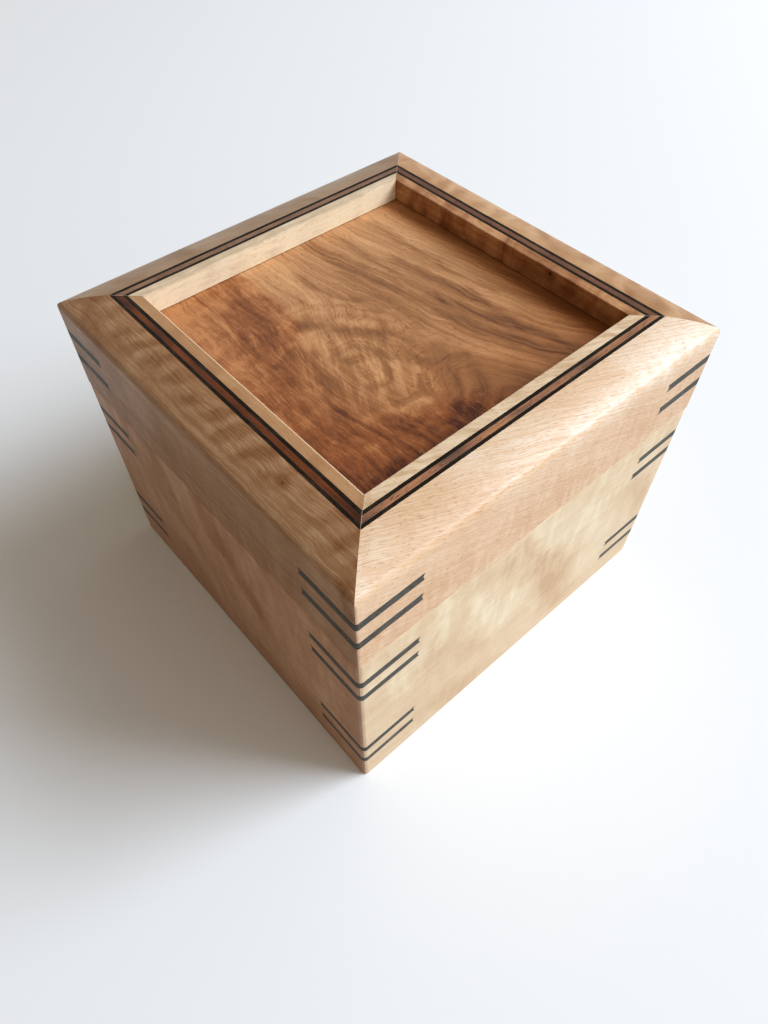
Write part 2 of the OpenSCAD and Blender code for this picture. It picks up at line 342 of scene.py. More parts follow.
# patches, flames and curls
def figureTone(tree, look, space):
    shifted = look["shift"][1] + look["shift"][2]
    values = {"Vector": space, "Patch Size": look["patchSize"], "Tilt": look["tilt"],
              "Flame Width": look["flameWidth"], "Flame Top": look["flameTop"] + shifted,
              "Flame Foot": look["flameFoot"] + shifted, "Curl Width": look["curlWidth"],
              "Curl Tilt": look["curlTilt"], "Curl Foot": look["curlFoot"] + shifted}
    shapes = placeGroup(tree, figure, values)
    tone = weighted(tree, look["level"], shapes["Patches"], look["patch"])
    tone = timesPlus(tree, shapes["Flames"], look["flame"], tone)
    return timesPlus(tree, shapes["Curls"], -look["curl"], tone)


# strokes placed one by one, with bent paths and feathered edges
def strokesTone(tree, tone, plain, strokes):
    x, y, z = separate(tree, plain)
    bent = moved(tree, -strokeShape["bend"][1] / 2, plain, strokeShape["bend"], 4, 0.62)
    feather = noise(tree, stretched(tree, plain, *strokeShape["feather"]), 1.0, 3, 0.6)
    feather = remap(tree, feather, *strokeShape["featherRange"])
    flat = combine(tree, plus(tree, x, bent), plus(tree, plus(tree, y, z), bent))
    for start, end, width, weight in strokes:
        values = {"Vector": flat, "Start": start + (0,), "End": end + (0,), "Width": width}
        mask = placeGroup(tree, stroke, values)["Mask"]
        tone = timesPlus(tree, times(tree, mask, feather), weight, tone)
    return tone


def mapleTone(tree, look, plain, space, lines, strokes):
    tone = figureTone(tree, look, space)
    if strokes:
        tone = strokesTone(tree, tone, plain, strokes)
    if "wallLight" in look:
        height, weight = look["wallLight"]  # painted light: below this height, on its inner wall, the strip is paler or darker by this much
        up = separate(tree, plain)[2]
        below = remap(tree, up, height - oiledMaple["wallFade"], height, 1.0, 0.0)
        tone = timesPlus(tree, below, weight, tone)
    tone = weighted(tree, tone, lines["Lines"], look["grain"])
    return weighted(tree, tone, lines["Fibres"], look["grain"] * oiledMaple["fibres"])


def mapleColour(tree, look, plain, tone, lines, knots):
    colour = rampOf(tree, tone, oiledMaple["ramp"], look["deep"], look["middle"], look["pale"])
    flecks = times(tree, lines["Flecks"], look["fleck"])
    colour = stain(tree, flecks, colour, oiledMaple["fleckTint"])
    for spot in knots:
        values = {"Vector": plain, "Centre": spot["at"], "Radius": spot["radius"]}
        masks = placeGroup(tree, knot, {**values, "Stretch": spot["stretch"]})
        colour = stain(tree, masks["Halo"], colour, spot["halo"])
        colour = cover(tree, masks["Core"], colour, spot["core"])
    if "rim" in look:
        edge, wearAndHighlight = look["rim"]  # a painted highlight along the edge where inward plus upward is greatest
        x, y, z = separate(tree, plain)
        near, full = oiledMaple["rimFade"]
        colour = cover(tree, remap(tree, plus(tree, y, z), edge - near, edge - full), colour, wearAndHighlight)
    if "mitre" in look:
        line = placeGroup(tree, mitreLine, {"Width": oiledMaple["glueWidth"]})["Mask"]
        colour = cover(tree, line, colour, look["mitre"])
    return colour


# own: three tones and how strongly each effect moves the wood from one to another
def makeMaple(name, side, own, knots=(), strokes=()):
    look = {**usualMaple, **own}
    material, tree, shader = startMaterial(name, {**oiledMaple, **look.get("finish", {})})
    plain, space = boardVector(tree, side, look["shift"])
    values = {"Vector": space, "Slant": look["slant"], "Pitch": look["pitch"], "Wave": look["wave"]}
    lines = placeGroup(tree, grain, values)
    tone = mapleTone(tree, look, plain, space, lines, strokes)
    colour = mapleColour(tree, look, plain, tone, lines, knots)
    tree.links.new(colour, shader.inputs["Base Color"])
    height = timesPlus(tree, lines["Flecks"], oiledMaple["fleckDepth"], lines["Fibres"])
    addRelief(tree, shader, height, oiledMaple["relief"])
    addRoughness(tree, shader, tone, oiledMaple)
    return material


edgeShape = {"weld": 0.000001, "segments": 2, "sharpest": 35, "flatWeight": 100}


# eases a node's sharp edges and gives it its material
def dress(name, material, ease):
    obj = nodes[name]
    obj.data.materials.clear()
    obj.data.materials.append(material)
    weld = obj.modifiers.new("joined", "WELD")
    weld.merge_threshold = edgeShape["weld"]
    bevel = obj.modifiers.new("easedEdges", "BEVEL")
    bevel.width = ease
    bevel.segments = edgeShape["segments"]
    bevel.limit_method = "ANGLE"
    bevel.angle_limit = math.radians(edgeShape["sharpest"])
    flat = obj.modifiers.new("flatFaces", "WEIGHTED_NORMAL")  # so that a face with holes in it shades flat
    flat.weight = edgeShape["flatWeight"]
    obj.data.polygons.foreach_set("use_smooth", [True] * len(obj.data.polygons))


# strokes are (start, end, width, weight) on the outer face, where across is the height less half the width
bodyBoards = {
    "ease": 0.00025,
    "front": {"pale": (0.79, 0.665, 0.465), "middle": (0.66, 0.485, 0.305), "deep": (0.53, 0.335, 0.185),
              "patch": 0.26, "patchSize": 13.0, "tilt": 0.45, "flame": 0.26, "flameWidth": 5.0,
              "flameTop": 14.0, "flameFoot": -50.0, "grain": 0.24, "fleck": 0.12, "pitch": 0.9, "wave": 9.0,
              "shift": (31.0, 12.0, 5.0), "level": 0.44},
    "right": {"pale": (0.70, 0.52, 0.33), "middle": (0.56, 0.375, 0.21), "deep": (0.43, 0.265, 0.13),
              "patch": 0.6, "patchSize": 17.0, "tilt": -0.4, "flame": 0.35, "flameWidth": 7.0, "grain": 0.2,
              "fleck": 0.15, "shift": (210.0, 44.0, 81.0), "level": 0.42},
    "back": {"pale": (0.68, 0.51, 0.34), "middle": (0.54, 0.375, 0.23), "deep": (0.41, 0.265, 0.145),
             "patch": 0.6, "patchSize": 16.0, "tilt": 0.5, "flame": 0.35, "flameWidth": 7.0, "grain": 0.2,
             "fleck": 0.15, "shift": (390.0, 72.0, 33.0), "level": 0.42},
    # the left board's colours are darker and redder than the front's: painted shade for the side turned away
    # from the light
    "left": {"pale": (0.58, 0.345, 0.195), "middle": (0.43, 0.215, 0.110), "deep": (0.28, 0.115, 0.048),
             "patch": 0.34, "patchSize": 13.0, "tilt": 0.5, "flame": 0.30, "flameWidth": 4.5,
             "flameTop": 20.0, "flameFoot": -80.0, "grain": 0.26, "fleck": 0.25, "pitch": 1.0, "wave": 9.0,
             "shift": (510.0, 23.0, 60.0), "level": 0.36},
}
bodyStrokes = {
    "front": [
        ((-10, 1), (5, -18), 12, -0.41), ((5, -18), (17, -38), 12, -0.43), ((17, -38), (28, -60), 13, -0.43),
        ((-24, -8), (-10, -36), 12, 0.34), ((-2, -12), (-10, -36), 10, 0.22),
        ((36, -6), (36, -48), 17, 0.26), ((2, 6), (20, -12), 14, 0.29), ((-38, 8), (-37, -12), 7, 0.31),
        ((54, -16), (68, -30), 13, -0.30), ((-40, -22), (-28, -36), 15, -0.30),
        ((-36, -58), (-24, -66), 14, -0.30), ((-56, -16), (-54, -30), 8, 0.25),
    ],
    "left": [
        ((-3, 9), (4, -8), 10, -0.34), ((4, -8), (20, -26), 9, -0.36), ((20, -26), (26, -40), 9, -0.28),
        ((-32, 8), (-27, -8), 10, -0.28), ((-27, -8), (-11, -34), 10, -0.28), ((56, -18), (52, -42), 8, 0.22),
        ((-38, -24), (-34, -38), 9, 0.18), ((10, -30), (12, -52), 9, 0.2), ((34, -14), (40, -44), 9, 0.16),
    ],
}
for side in sideAngles:
    material = makeMaple("bodyMaple_" + side, side, bodyBoards[side], (), bodyStrokes.get(side, ()))
    dress("body_side_" + side, material, bodyBoards["ease"])
print("dressed the body sides")

lidRails = {
    "ease": 0.0001,
    "front": {"pale": (0.86, 0.72, 0.585), "middle": (0.71, 0.480, 0.297), "deep": (0.58, 0.330, 0.165),
              "patch": 0.24, "patchSize": 24.0, "tilt": 0.3, "grain": 0.40, "fleck": 0.75, "slant": 0.45,
              "pitch": 0.55, "wave": 3.5, "shift": (120.0, 9.0, 14.0), "finish": {"gloss": 0.50}},
    "right": {"pale": (0.66, 0.42, 0.225), "middle": (0.45, 0.24, 0.105), "deep": (0.29, 0.130, 0.048),
              "patch": 0.45, "patchSize": 12.0, "tilt": 0.3, "curl": 0.34, "curlWidth": 9.0, "grain": 0.24,
              "fleck": 0.3, "pitch": 0.8, "slant": -0.3, "wave": 4.0, "shift": (310.0, 51.0, 29.0),
              "level": 0.56},
    "back": {"pale": (0.48, 0.33, 0.205), "middle": (0.345, 0.212, 0.118), "deep": (0.24, 0.128, 0.058),
             "patch": 0.6, "patchSize": 18.0, "tilt": 0.3, "curl": 0.15, "grain": 0.3, "fleck": 0.3,
             "pitch": 0.8, "slant": 0.4, "wave": 4.0, "shift": (470.0, 17.0, 90.0)},
    # the left rail's colours are darker and redder than the front's: painted shade for the side turned away
    # from the light
    "left": {"pale": (0.56, 0.360, 0.206), "middle": (0.345, 0.180, 0.087), "deep": (0.215, 0.087, 0.033),
             "patch": 0.26, "patchSize": 14.0, "tilt": 0.25, "curl": 0.52, "curlWidth": 9.0,
             "curlTilt": -0.5, "curlFoot": 48.0, "grain": 0.38, "fleck": 0.35, "pitch": 0.6, "wave": 5.0,
             "shift": (660.0, 38.0, 47.0), "level": 0.58},
}
railKnots = {
    "left": [{"at": (34.0, -62.0, 114.2), "radius": 0.8, "stretch": 1.4, "core": (0.10, 0.035, 0.015),
              "halo": (0.62, 0.45, 0.34)}],
    "front": [{"at": (53.5, -68.0, 112.4), "radius": 0.33, "stretch": 3.4, "core": (0.13, 0.12, 0.10),
               "halo": (0.96, 0.94, 0.92)}],
}
railStrokes = {
    # the second and third front strokes are painted highlight: a pale sheen along the outer arris and over
    # the bevel towards the right-hand corner
    "front": [((-80, 18), (80, 18), 30, -0.50), ((8, 43), (58, 44), 9, 0.40), ((48, 50), (70, 50), 24, 0.22),
              ((-50, 52), (-26, 46), 9, -0.20), ((-68, 46), (-56, 52), 9, 0.22),
              ((-24, 54), (-4, 50), 8, 0.16)],
    # the first back stroke is a painted highlight along the outer arris
    "back": [((-72, 41), (72, 41), 5, 0.5), ((-80, 18), (80, 18), 32, 0.35)],
    "right": [((-80, 18), (80, 18), 32, 0.28)],
    # the first left stroke is painted shade, darkening the side face turned away from the light
    "left": [((-80, 14), (80, 14), 32, -0.34), ((54, 16), (80, 16), 16, 0.16), ((66, 44), (69, 36), 4, -0.7),
             ((-56, 50), (-44, 42), 5, -0.3), ((-28, 54), (-22, 46), 5, -0.25)],
}
for side in sideAngles:
    knots = railKnots.get(side, ())
    material = makeMaple("railMaple_" + side, side, lidRails[side], knots, railStrokes[side])
    dress("lid_rail_" + side, material, lidRails["ease"])
print("dressed the lid rails")

lipStrips = {
    "ease": 0.00008,
    "front": {"pale": (0.87, 0.70, 0.50), "middle": (0.74, 0.55, 0.365), "deep": (0.56, 0.36, 0.205),
              "patch": 0.45, "grain": 0.6, "fleck": 0.5, "slant": 0.5},
    "right": {"pale": (0.62, 0.34, 0.165), "middle": (0.41, 0.186, 0.080), "deep": (0.22, 0.085, 0.029),
              "patch": 0.8, "patchSize": 7.0, "curl": 0.3, "grain": 0.4},
    # the back strip's wall light is painted light: its inner wall, which faces the window, is paler below the
    # top edge
    "back": {"pale": (0.93, 0.79, 0.575), "middle": (0.64, 0.49, 0.335), "deep": (0.50, 0.35, 0.21),
             "wallLight": (115.3, 0.66)},
    # the left strip's rim colour is a painted highlight along its inner top edge
    "left": {"pale": (0.55, 0.33, 0.17), "middle": (0.44, 0.24, 0.115), "deep": (0.32, 0.15, 0.062),
             "rim": (65.4, (0.90, 0.68, 0.46))},
}
lipFigure = {"patch": 0.30, "patchSize": 9.0, "tilt": 0.2, "curl": 0.12, "curlWidth": 9.0, "grain": 0.28,
             "fleck": 0.3, "mitre": (0.30, 0.20, 0.12)}
lipShift = ((800.0, 57.0), (0.0, 13.0), (0.0, 21.0))  # the first strip's shift, and the step to the next
lipKnots = {
    "right": [{"at": (-21.0, -50.1, 114.2), "radius": 0.95, "stretch": 1.1, "core": (0.03, 0.012, 0.008),
               "halo": (0.5, 0.4, 0.35)}],
}
for number, side in enumerate(sideAngles):
    shift = tuple(first + step * number for first, step in lipShift)
    look = {**lipFigure, **lipStrips[side], "shift": shift}
    material = makeMaple("lipMaple_" + side, side, look, lipKnots.get(side, ()))
    dress("lip_" + side, material, lipStrips["ease"])
print("dressed the lip")

plainBoards = {
    "ease": 0.0003, "battenEase": 0.00004,
    "pale": (0.76, 0.61, 0.43), "middle": (0.66, 0.49, 0.32), "deep": (0.53, 0.36, 0.21), "patch": 0.3,
    "patchSize": 30.0, "tilt": 0.2, "grain": 0.5, "fleck": 0.3, "shift": (950.0, 70.0, 12.0),
}
for side in sideAngles:
    dress("runner_" + side, makeMaple("runnerMaple_" + side, side, plainBoards), plainBoards["ease"])
dress("bottom_board", makeMaple("bottomMaple", "front", plainBoards), plainBoards["ease"])
dress("lock_block", makeMaple("blockMaple", "right", plainBoards), plainBoards["ease"])
dress("lock_batten", makeMaple("battenMaple", "right", plainBoards), plainBoards["battenEase"])
print("dressed the plain boards")

# dark thin strips: dyed hardwood with faint fibres
darkStrips = {
    "roughness": 0.42, "gloss": 0.04, "ease": 0.00004, "relief": 0.00002, "black": (0.010, 0.007, 0.004),
    "wearAndHighlight": (0.036, 0.026, 0.018), "wornFibres": (0.35, 0.75), "glue": (0.42, 0.34, 0.26), "glueWidth": 0.1,
    "blotches": 0.12, "blotchRange": (0.3, 0.75),
}


def makeDarkStrip(name, side):
    look = darkStrips
    material, tree, shader = startMaterial(name, look)
    plain, space = boardVector(tree, side)
    lines = placeGroup(tree, grain, {"Vector": space})
    blotch = remap(tree, noise(tree, space, look["blotches"], 3), *look["blotchRange"])
    wearAndHighlight = times(tree, remap(tree, lines["Fibres"], *look["wornFibres"]), blotch)
    colour = cover(tree, wearAndHighlight, look["black"] + (1,), look["wearAndHighlight"])
    line = placeGroup(tree, mitreLine, {"Width": look["glueWidth"]})["Mask"]
    tree.links.new(cover(tree, line, colour, look["glue"]), shader.inputs["Base Color"])
    addRelief(tree, shader, lines["Fibres"], look["relief"])
    addRoughness(tree, shader, blotch, look)
    return material


for side in sideAngles:
    material = makeDarkStrip("blackLine_" + side, side)
    dress("outer_line_" + side, material, darkStrips["ease"])
    dress("inner_line_" + side, material, darkStrips["ease"])
print("dressed the black lines")

# the red band: coarse open-pored wood with orange and brown streaks
redBands = {
    "roughness": 0.42, "gloss": 0.12, "ease": 0.00004, "relief": 0.00003, "pore": (0.05, 0.018, 0.010),
    "pores": 0.6, "glue": (0.50, 0.40, 0.30), "glueWidth": 0.12, "streaks": (0.06, 2.2, 2.2),
    "streakWeight": 0.5, "blotches": 0.06, "blotchWeight": 0.6, "toneRange": (0.38, 0.72), "shift": 3,
    "front": {"bright": (0.50, 0.225, 0.110), "deep": (0.120, 0.064, 0.046)},
    "right": {"bright": (0.20, 0.085, 0.045), "deep": (0.10, 0.040, 0.022)},
    "back": {"bright": (0.30, 0.170, 0.102), "deep": (0.165, 0.085, 0.048)},
    "left": {"bright": (0.170, 0.046, 0.012), "deep": (0.040, 0.010, 0.004)},
}


def makeRedBand(name, side):
    look = {**redBands, **redBands[side]}
    material, tree, shader = startMaterial(name, look)
    plain, space = boardVector(tree, side, (sideAngles[side], look["shift"], 0))
    streaks = noise(tree, stretched(tree, space, *look["streaks"]), 1.0, 4, 0.6)
    blotch = noise(tree, space, look["blotches"], 2)
    tone = timesPlus(tree, blotch, look["blotchWeight"], times(tree, streaks, look["streakWeight"]))
    colour = cover(tree, remap(tree, tone, *look["toneRange"]), look["deep"] + (1,), look["bright"])
    pores = placeGroup(tree, grain, {"Vector": space})["Flecks"]
    colour = cover(tree, times(tree, pores, look["pores"]), colour, look["pore"])
    line = placeGroup(tree, mitreLine, {"Width": look["glueWidth"]})["Mask"]
    tree.links.new(cover(tree, line, colour, look["glue"]), shader.inputs["Base Color"])
    addRelief(tree, shader, minus(tree, 1.0, pores), look["relief"])
    addRoughness(tree, shader, blotch, look)
    return material


for side in sideAngles:
    dress("red_band_" + side, makeRedBand("redWood_" + side, side), redBands["ease"])
print("dressed the red bands")

# the corner keys: charcoal wood, its grain running across the corner
cornerKeys = {
    "roughness": 0.45, "gloss": 0.08, "ease": 0.00004, "relief": 0.00002, "dark": (0.036, 0.033, 0.027),
    "light": (0.074, 0.070, 0.058), "blotches": 0.15, "blotchWeight": 0.5, "fibreWeight": 0.5,
    "toneRange": (0.3, 0.7),
}
keyCorners = {"front_right": 45, "back_right": 135, "back_left": 225, "front_left": 315}


def makeKeyWood(name, angle):
    look = cornerKeys
    material, tree, shader = startMaterial(name, look)
    space = placeGroup(tree, boardSpace, {"Angle": -math.radians(angle)})
    space = combine(tree, space["Along"], space["Into"], space["Up"])
    lines = placeGroup(tree, grain, {"Vector": space})
    blotch = noise(tree, space, look["blotches"], 2)
    fibres = times(tree, lines["Fibres"], look["fibreWeight"])
    tone = timesPlus(tree, blotch, look["blotchWeight"], fibres)
    colour = cover(tree, remap(tree, tone, *look["toneRange"]), look["dark"] + (1,), look["light"])
    tree.links.new(colour, shader.inputs["Base Color"])
    addRelief(tree, shader, lines["Fibres"], look["relief"])
    addRoughness(tree, shader, blotch, look)
    return material


for corner, angle in keyCorners.items():
    material = makeKeyWood("keyWood_" + corner, angle)
    for height in ("rim_keys_", "base_keys_", "lid_keys_"):
        dress(height + corner, material, cornerKeys["ease"])
print("dressed the corner keys")

# the top panel, in its own millimetres: x to the right, y to the back, with the grain along y
walnutPanel = {
    "roughness": 0.34, "gloss": 0.14, "ease": 0.0002, "relief": 0.00004,
    "pale": (0.70, 0.375, 0.176), "middle": (0.375, 0.167, 0.066), "deep": (0.120, 0.044, 0.020),
    "redPale": (0.54, 0.235, 0.092), "redMiddle": (0.295, 0.100, 0.034), "redDeep": (0.080, 0.022, 0.009),
    "ramp": (-0.40, 0.5, 1.15), "pore": (0.10, 0.040, 0.020), "fleck": (0.62, 0.35, 0.17),
    "frontTint": (0.92, 0.81, 0.72), "frontFade": (-40.0, 20.0), "frontEdge": (0.05, 30.0),
    # the right edge shade is painted shade along the panel's right edge, where the right lip's shadow falls
    "rightEdgeShade": (0.82, 0.68, 0.55), "rightEdgeShadeFade": (39.0, 45.0),
    # each layer: how often it changes in a mm across and along, detail, roughness, distortion and range
    "layers": {
        "broad": (0.14, 0.008, 3, 0.55, 0.0, (0.32, 0.68)),
        "lines": (0.75, 0.016, 4, 0.60, 0.0, (0.32, 0.68)),
        "fibres": (2.8, 0.09, 3, 0.60, 0.0, (0.32, 0.68)),
        "swirl": (0.06, 0.5, 4, 0.60, 0.5, (0.34, 0.66)),
        "rings": (0.34, 0.014, 3, 0.50, 0.0, (0.34, 0.66)),
        "feather": (0.34, 0.075, 5, 0.64, 1.1, (0.34, 0.66)),
        "cloud": (0.09, 0.15, 4, 0.55, 0.8, (0.28, 0.72)),
        "pores": (3.2, 0.5, 1, 0.50, 0.0, (0.58, 0.74)),
        "shine": (1.9, 0.30, 1, 0.50, 0.0, (0.58, 0.80)),
    },
    # how strongly each of them moves the tone or shows
    "weights": {"broad": 0.30, "lines": 0.32, "linesInRings": -0.18, "rings": 0.36, "fibres": 0.20,
                "swirl": 0.42, "feather": 0.52, "cloud": 0.42, "pores": 0.45, "shine": 0.26,
                "poreDepth": -0.8},
    "tone": {"front": 0.43, "back": 0.84, "red": -0.03}, "halfDepth": 50.0,
    "wander": {"across": 0.10, "along": 0.05, "reach": 6.0},
    "wobble": {"across": 0.15, "along": 0.09, "reach": 6.0}, "streakStrength": (1.25, 0.75),
    # how far the straight grain leans to the right on its way to the front, and where the lean begins
    "lean": ((50, -1.5), (36, 0), (21, 3.4), (6, 6), (-10, 8.4), (-24, 11.5), (-35, 16), (-50, 24)),
    "leanFade": (-10.0, 12.0),
    # the edge between the redder wood on the left and the golden wood, and how soft it is along y
    "redEdge": ((50, -18), (16, -18.5), (6, -24), (-10, -29), (-22, -29), (-32, -16), (-40, 2), (-50, 14)),
    "redSoft": (6.0, 18.0, 11.0, 1.8),
    # the eye, round which the grain runs, with dusky rings on its right and slanting fibres in it
    "eye": {"at": (-17.0, -10.0), "core": 5.0, "reach": 30.0, "tall": 1.35, "push": 7.0,
            "rough": (0.07, 12.0), "fibreTurn": -62, "rings": (22.0, 34.0), "ringSide": (-26.0, -14.0)},
    # streaks along the grain, darker (below 0) or paler: weight, half width and the line that each follows
    "streaks": [
        (-0.62, 4.2, ((9, 50), (10.5, 38), (14, 21), (16.5, 6), (19, -9), (22.5, -24), (27, -36), (32, -48))),
        (-0.50, 3.4, ((26, 24), (27.5, 8), (30, -8), (31, -22), (36, -46))),
        (-0.50, 3.2, ((22, 3), (23.5, -8), (27, -19), (31, -31))),
        (-0.46, 3.0, ((-4.5, 38), (-3, 26), (0.5, 17), (3.5, 13))),
        (-0.26, 5.0, ((8.5, 32), (9, 8), (9.5, -8))),
        (-0.24, 9.0, ((0.5, -4), (1.5, -22), (0, -32), (-7, -46))),
        (-0.44, 6.5, ((-25, 42), (-27.5, 22), (-31, 4))),
        (-0.36, 4.6, ((-25, 8), (-28, -10), (-33, -22))),
        (-0.26, 4.4, ((-37, 12), (-36, -5))),
        (-0.40, 3.4, ((-20, 36), (-19.5, 16))),
        (-0.34, 2.2, ((34, 46), (35, 10), (38, -12))),
        (-0.28, 2.0, ((19, 48), (20, 20), (23.5, -4))),
        (-0.26, 1.8, ((-12, 46), (-11, 22))),
        (-0.34, 2.6, ((-33, 44), (-34, 26), (-38, 12))),
        (-0.26, 3.4, ((9.5, -28), (5, -37), (2, -43))),
        (-0.36, 5.4, ((16, -38), (16, -48))),
        (-0.28, 5.4, ((-8, -36), (-6, -46))),
        (0.22, 4.4, ((-22, 20), (-20, 6), (-24, -2))),
        (0.26, 5.0, ((-13, -7), (-19, -21))),
        (0.24, 4.4, ((-8, -13), (-14, -33))),
        (0.20, 3.4, ((-4, -20), (-9, -33))),
        (0.20, 3.2, ((5, -28), (-3, -41))),
        (0.18, 4.4, ((36, 6), (34, -22))),
        (0.18, 4.2, ((12, -20), (20, -36))),
        (0.16, 3.4, ((-10, 48), (-9, 20))),
        (0.26, 3.6, ((-38, 28), (-41, 14), (-38, 6))),
        (0.36, 6.0, ((-43, 50), (-43, 30))),
        (0.16, 9.0, ((40, 50), (38, 22))),
        (0.14, 3.4, ((3, 10), (4, -4))),
    ],
    # the same across the grain
    "crossings": [
        (-0.50, 4.6, ((-19, 15.5), (-12.5, 10), (-7, 3), (-2, -3))),
        (-0.26, 3.4, ((-12, 24), (-3, 17), (4, 7))),
        (-0.30, 3.6, ((-18, -4), (-10, -8), (-5, -14), (-2.5, -19))),
        (-0.30, 2.6, ((6.3, -25.5), (10, -25))),
        (-0.24, 4.4, ((-33, -20), (-25, -29), (-20, -36))),
        (-0.30, 7.2, ((-28, -36), (-18, -36.5))),
        (-0.40, 9.5, ((-24, -46), (-8, -44))),
        (-0.46, 15.0, ((-52, -46), (-30, -53))),
        (0.30, 2.8, ((-29, -26), (-21, -27.5))),
        (0.40, 3.2, ((-21, -30), (-12, -32))),
        (0.34, 2.8, ((-18, -34), (-11, -37.5))),
        (0.32, 2.6, ((-24, -39), (-13, -39.5))),
        (0.24, 2.6, ((-42, -33), (-34, -36))),
    ],
}
curveReach = 60.0  # curves run from minus this to plus this, in mm


# a smooth line x(y) through given points (y, x)
def curveThrough(tree, y, points):
    share = timesPlus(tree, y, 0.5 / curveReach, 0.5)
    node = addNode(tree, "ShaderNodeFloatCurve", {"Value": share})
    curve = node.mapping.curves[0]
    places = sorted(tuple(0.5 + 0.5 * value / curveReach for value in point) for point in points)
    while len(curve.points) < len(places):
        curve.points.new(0.5, 0.5)
    for point, place in zip(curve.points, places):
        point.location = place
    node.mapping.update()
    return timesPlus(tree, node.outputs[0], 2 * curveReach, -curveReach)


def streakMask(tree, flat, width, line):
    x, y, z = separate(tree, flat)
    off = minus(tree, x, curveThrough(tree, y, [point[::-1] for point in line]))
    across = remap(tree, maths(tree, "ABSOLUTE", off), 0.0, width, 1.0, 0.0)
    back, front = line[0][1], line[-1][1]
    middle, half = (back + front) / 2, (back - front) / 2
    apart = maths(tree, "ABSOLUTE", minus(tree, y, middle))
    return times(tree, across, remap(tree, apart, half - width, half + width, 1.0, 0.0))


def crossingMask(tree, flat, width, line):
    mask = 0.0
    for start, end in zip(line, line[1:]):
        values = {"Vector": flat, "Start": start + (0,), "End": end + (0,), "Width": width}
        mask = maths(tree, "MAXIMUM", placeGroup(tree, stroke, values)["Mask"], mask)
    return mask


def walnutLayer(tree, key, across, along):
    often, longOften, detail, roughness, distortion, ends = walnutPanel["layers"][key]
    place = combine(tree, times(tree, across, often), times(tree, along, longOften))
    return remap(tree, noise(tree, place, 1.0, detail, roughness, distortion), *ends)


# where a point lies: on the panel, from the eye, and in the grain, which leans on the right of the eye
def walnutPlaces(tree):
    look, eye = walnutPanel, walnutPanel["eye"]
    x, y, z = separate(tree, boardVector(tree, "front")[0])
    flat = combine(tree, x, y)
    wander = look["wander"]
    vector = stretched(tree, flat, wander["across"], wander["along"], 1)
    bent = plus(tree, x, moved(tree, -wander["reach"] / 2, vector, (1.0, wander["reach"]), 3, 0.55))
    lean = times(tree, curveThrough(tree, y, look["lean"]), remap(tree, x, *look["leanFade"]))
    eyeX, eyeY = eye["at"]
    fromEye = combine(tree, minus(tree, x, eyeX), over(tree, minus(tree, y, eyeY), eye["tall"]))
    distance = minus(tree, distanceOf(tree, fromEye), eye["rough"][1] / 2)
    distance = moved(tree, distance, flat, eye["rough"], 3, 0.55)
    inEye = remap(tree, distance, eye["core"], eye["reach"], 1.0, 0.0)
    flow = timesPlus(tree, inEye, eye["push"], minus(tree, bent, lean))
    return {"x": x, "y": y, "flat": flat, "bent": bent, "flow": flow, "distance": distance, "inEye": inEye}


# where the redder wood is
def walnutRed(tree, at):
    edge = minus(tree, at["bent"], curveThrough(tree, at["y"], walnutPanel["redEdge"]))
    soft = remap(tree, at["y"], *walnutPanel["redSoft"])
    return remap(tree, over(tree, edge, soft), -1.0, 1.0, 1.0, 0.0)


# tone of the wood, from 0 at its darkest to 1
def walnutTone(tree, at, lines, fibres):
    look, eye, weights = walnutPanel, walnutPanel["eye"], walnutPanel["weights"]
    values = {"Vector": at["flat"], "Angle": math.radians(eye["fibreTurn"])}
    turned = addNode(tree, "ShaderNodeVectorRotate", values, rotation_type="Z_AXIS").outputs[0]
    swirl = walnutLayer(tree, "swirl", *separate(tree, turned)[:2])
    near = remap(tree, at["distance"], *eye["rings"], 1.0, 0.0)
    ringed = times(tree, near, remap(tree, at["x"], *eye["ringSide"]))
    lineWeight = timesPlus(tree, ringed, weights["linesInRings"], weights["lines"])
    ringWeight = times(tree, ringed, weights["rings"])
    swirlWeight = times(tree, at["inEye"], weights["swirl"])
    broad = walnutLayer(tree, "broad", at["flow"], at["y"])
    tone = weighted(tree, look["tone"]["front"], broad, weights["broad"])
    tone = weighted(tree, tone, lines, lineWeight)
    tone = weighted(tree, tone, walnutLayer(tree, "rings", at["distance"], at["y"]), ringWeight)
    tone = weighted(tree, tone, fibres, weights["fibres"])
    tone = weighted(tree, tone, swirl, swirlWeight)
    rise = look["tone"]["back"] - look["tone"]["front"]
    return timesPlus(tree, remap(tree, at["y"], -look["halfDepth"], look["halfDepth"]), rise, tone)


# the tone with its streaks, which wobble a little and are stronger in the dark lines
def streakedTone(tree, tone, at, lines):
    look, wobble = walnutPanel, walnutPanel["wobble"]
    vector = stretched(tree, at["flat"], wobble["across"], wobble["along"], 1)
    values = {"Vector": vector, "Scale": 1.0, "Detail": 2.5, "Roughness": 0.55}
    shake = addNode(tree, "ShaderNodeTexNoise", values).outputs["Color"]
    shake = vectorMaths(tree, "SUBTRACT", shake, (0.5, 0.5, 0.5))
    shake = stretched(tree, shake, wobble["reach"], wobble["reach"], 0)
    drawn = vectorMaths(tree, "ADD", at["flat"], shake)
    strength = remap(tree, lines, 0.0, 1.0, *look["streakStrength"])
    for key, draw in (("streaks", streakMask), ("crossings", crossingMask)):
        for weight, width, line in look[key]:
            mask = times(tree, draw(tree, drawn, width, line), strength)
            tone = timesPlus(tree, mask, weight, tone)
    return tone


